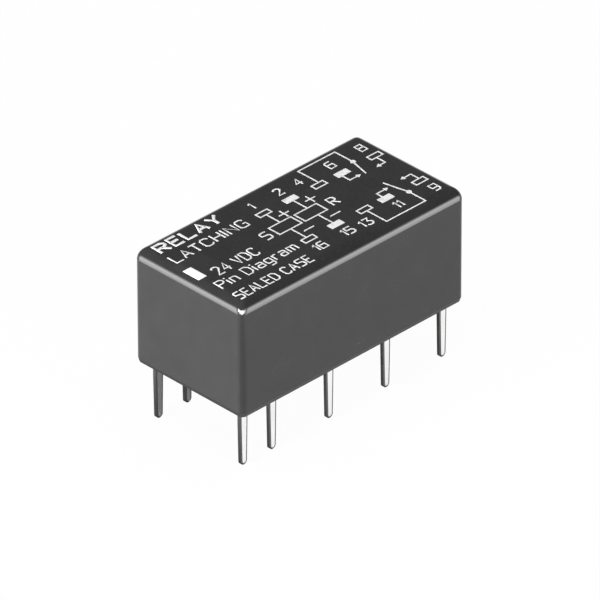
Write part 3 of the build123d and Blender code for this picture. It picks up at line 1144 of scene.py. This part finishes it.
@dataclass(frozen=True)
class Lamp:
    """A soft rectangular lamp, or a glowing card that stands on the floor, in millimetres.

    A card has shades: how its glow changes from foot to top, as pairs of a height and a share from 0 to 1.
    It shows in the case's rounded edges and nowhere else, and its height follows from its size.
    """

    name: str
    place: Triple
    aim: Triple
    size: Point
    glow: float  # 1 is white
    shades: tuple[Point, ...] = ()
    mirrored: bool = True  # whether gloss shows it


# How the glow of a card changes: along every card's length, then along the height of each kind
END_SHADES = ((0.0, 0.0), (0.28, 1.0), (0.72, 1.0), (1.0, 0.0))
SIDE_SHADES = ((0.0, 0.05), (0.12, 0.6), (0.3, 0.68), (0.64, 1.0), (0.82, 0.5), (1.0, 0.0))
FRONT_SHADES = ((0.19, 0.0), (0.28, 1.0), (0.8, 1.0), (1.0, 0.0))


@dataclass
class Studio:
    """Pale floor, soft lamps, a dim room and the camera."""

    floor_drop: float = 0.02  # clearance under the pins' tips
    floor_size: float = 6.0  # its side, in metres
    floor_greys: Point = (0.8, 0.82)  # darkest and palest, as it lights the object
    floor_mottle: float = 60.0
    floor_roughness: float = 0.9
    azimuth: float = -44.622  # of the camera, in degrees, with 0 looking along +Y
    elevation: float = 32.557
    roll: float = -0.133
    distance: float = 755.4  # from the camera to the middle of the case
    focal: float = 11936.7  # in pixels of a picture 600 wide
    clip: Point = (0.01, 20.0)  # nearest and farthest that the camera sees, in metres
    aside: Point = (0.009, 1.674)  # how far the case stands right of the line of sight, and above it
    seen_white: float = 0.96  # how much of the floor is white to the camera; the rest keeps the shadow
    mirrored_white: float = 0.85  # the same to gloss, beside the case
    shade_grey: float = 0.12  # brightness of the floor's painted shade, to gloss
    shade_box: tuple[Point, ...] = ((-11.3, 11.2), (-4.1, 9.0))  # its lowest and highest X, then Y
    shade_soft: float = 0.2
    front_spot: Point = (-19.0, -14.0)  # middle of the shade in front of the case's corner
    front_reach: Point = (8.0, 11.0)  # how far from there it starts to fade, and ends
    front_share: float = 0.6  # how deep it is
    room_glow: Triple = (0.21, 0.21, 0.215)
    lamps: tuple[Lamp, ...] = (
        Lamp("top_softbox", (0, 0, 600), (0, 0, 4), (600, 600), 2.2, mirrored=False),
        Lamp("left_softbox", (-590, 0, 105), (0, 0, 4), (300, 200), 36.0),
        Lamp("right_softbox", (0, -590, 105), (0, 0, 4), (300, 200), 7.0),
        Lamp("left_card", (-27, 15, 0), (0, 15, 0), (30, 17), 8.5, SIDE_SHADES),
        Lamp("right_card", (15, -22, 0), (15, 0, 0), (52, 17), 7.6, SIDE_SHADES),
        Lamp("front_card", (-28, -23, 0), (-10, -5, 0), (56, 24), 26.0, FRONT_SHADES),
    )

    def build(self) -> None:
        """Sets up the picture, the floor, the room, the lamps and the camera."""
        bpy.context.scene.view_settings.view_transform = "Standard"
        self.floor()
        self.room()
        for lamp in self.lamps:
            self.light(lamp)
        self.camera()

    def view_axes(self) -> Matrix:
        """The camera's axes as the columns of a matrix: right, up and back.

        Returns:
            The rotation of the camera.
        """
        azimuth, elevation, roll = (math.radians(v) for v in (self.azimuth, self.elevation, self.roll))
        right = Vector((math.cos(azimuth), math.sin(azimuth), 0))
        level = math.cos(elevation)
        back = Vector((math.sin(azimuth) * level, -math.cos(azimuth) * level, math.sin(elevation)))
        up = back.cross(right)
        rolled_right = right * math.cos(roll) + up * math.sin(roll)
        rolled_up = up * math.cos(roll) - right * math.sin(roll)
        return Matrix((rolled_right, rolled_up, back)).transposed()

    def camera(self) -> None:
        """Makes the camera at the photograph's place."""
        low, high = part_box("cover")
        middle = (low + high) / 2
        axes = self.view_axes()
        offset = Vector((-self.aside[0], -self.aside[1], self.distance)) * MM
        data = bpy.data.cameras.new("camera")
        data.sensor_width = SENSOR_MM
        data.lens = self.focal * SENSOR_MM / PICTURE_WIDTH
        data.clip_start, data.clip_end = self.clip
        camera = bpy.data.objects.new("camera", data)
        camera.matrix_world = Matrix.Translation(middle + axes @ offset) @ axes.to_4x4()
        bpy.context.scene.collection.objects.link(camera)
        bpy.context.scene.camera = camera

    def floor(self) -> None:
        """Makes the pale floor, which looks white to the camera and keeps a soft shadow."""
        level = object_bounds()[0].z - self.floor_drop * MM
        Workshop.clear()
        bpy.ops.mesh.primitive_plane_add(size=self.floor_size, location=(0, 0, level))
        floor = bpy.context.object
        floor.name = "floor"
        floor.data.materials.append(self.floor_material())
        floor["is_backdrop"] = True

    def floor_material(self) -> bpy.types.Material:
        """Pale floor: plain to diffuse light, white to the camera, and white to gloss beside the case.

        Returns:
            The material.
        """
        desk = NodeDesk("pale_floor")
        greys = ((grey,) * 3 for grey in self.floor_greys)
        desk.set(Base_Color=desk.mix(desk.cloud(self.floor_mottle), *greys), Roughness=self.floor_roughness)
        ray = desk.add("LightPath").outputs
        mirrored = desk.math("MAXIMUM", ray["Is Glossy Ray"], ray["Is Transmission Ray"])
        # painted shade: gloss sees the floor grey under the case and in front of its corner
        grey = desk.mix(self.shade(desk), (1, 1, 1), (self.shade_grey,) * 3)
        white = desk.add("Emission", Color=desk.mix(mirrored, (1, 1, 1), grey), Strength=1.0)
        mirrored = desk.math("MULTIPLY", mirrored, self.mirrored_white)
        seen = desk.math("MULTIPLY", ray["Is Camera Ray"], self.seen_white)
        share = desk.math("MAXIMUM", seen, mirrored)
        mixer = desk.add("MixShader", share, desk.shader.outputs[0], white.outputs[0])
        desk.fill(desk.tree.nodes["Material Output"], {"Surface": mixer.outputs[0]})
        return desk.material

    def shade(self, desk: NodeDesk) -> Socket:
        """How much painted shade gloss sees on the floor: under the case, and less in front of its corner.

        Args:
            desk: The material being made.

        Returns:
            The socket with the shade, from 0 to 1.
        """
        inside = [
            desk.band(axis, (low + high) / 2, (high - low) / 2, self.shade_soft)
            for axis, (low, high) in zip(desk.axes(desk.place), self.shade_box)
        ]
        under = desk.math("MULTIPLY", *inside)
        gap = desk.add("VectorMath", desk.place, tuple(side * MM for side in (*self.front_spot, 0.0)))
        gap.operation = "DISTANCE"
        low, high = self.front_reach
        front = desk.span(gap.outputs["Value"], low * MM, high * MM, self.front_share, 0.0)
        return desk.math("MAXIMUM", under, front)

    def room(self) -> None:
        """Lights the room dimly, and shows it white to the camera."""
        world = bpy.data.worlds.new("room")
        bpy.context.scene.world = world
        world.use_nodes = True
        desk = NodeTree(world.node_tree)
        dim = desk.tree.nodes["Background"]
        desk.fill(dim, {"Color": (*self.room_glow, 1), "Strength": 1.0})
        pale = desk.add("Background", Color=(1, 1, 1, 1))
        seen = desk.add("LightPath").outputs["Is Camera Ray"]
        mixer = desk.add("MixShader", seen, dim.outputs[0], pale.outputs[0])
        desk.fill(desk.tree.nodes["World Output"], {"Surface": mixer.outputs[0]})

    def light(self, lamp: Lamp) -> None:
        """Adds a lamp, which the camera doesn't see.

        Args:
            lamp: The lamp or card.
        """
        up = Vector((0, 0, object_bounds()[0].z / MM + lamp.size[1] / 2 if lamp.shades else 0))
        place, aim = Vector(lamp.place) + up, Vector(lamp.aim) + up
        data = bpy.data.lights.new(lamp.name, "AREA")
        data.shape = "RECTANGLE"
        data.size, data.size_y = (side * MM for side in lamp.size)
        data.energy = lamp.glow * math.pi * data.size * data.size_y
        light = bpy.data.objects.new(lamp.name, data)
        turn = (place - aim).to_track_quat("Z", "Y").to_matrix().to_4x4()
        light.matrix_world = Matrix.Translation(place * MM) @ turn
        light.visible_camera = False
        light.visible_glossy = lamp.mirrored
        bpy.context.scene.collection.objects.link(light)
        if lamp.shades:
            light.visible_diffuse = False
            self.fade(data, lamp.shades)

    def fade(self, data: bpy.types.Light, shades: Sequence[Point]) -> None:
        """Fades the glow of a card to its ends and along its height.

        Args:
            data: The card's light.
            shades: How its glow changes from foot to top.
        """
        data.use_nodes = True
        desk = NodeTree(data.node_tree)
        fades = []
        for side, stops in zip(desk.axes(desk.add("TexCoord").outputs["UV"]), (END_SHADES, shades)):
            ramp = desk.add("ValToRGB", side)
            marks = ramp.color_ramp.elements
            marks[0].position, marks[-1].position = stops[0][0], stops[-1][0]
            for position, _ in stops[1:-1]:
                marks.new(position)
            for mark, (_, share) in zip(marks, stops):
                mark.color = (share, share, share, 1)
            fades.append(ramp.outputs[0])
        desk.fill(desk.tree.nodes["Emission"], {"Strength": desk.math("MULTIPLY", *fades)})


def main() -> None:
    """Loads the model, dresses it, adds its pieces and sets up the studio."""
    logging.basicConfig(level=logging.INFO, format="%(name)s: %(message)s")
    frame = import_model()
    materials = {slot: finish.material() for slot, finish in FINISHES.items()}
    ModelDresser(frame, materials).dress()
    shop = Workshop(materials)
    TopPrint(shop).build()
    PottedUnderside(shop).build()
    Studio().build()


if __name__ == "__main__":
    main()
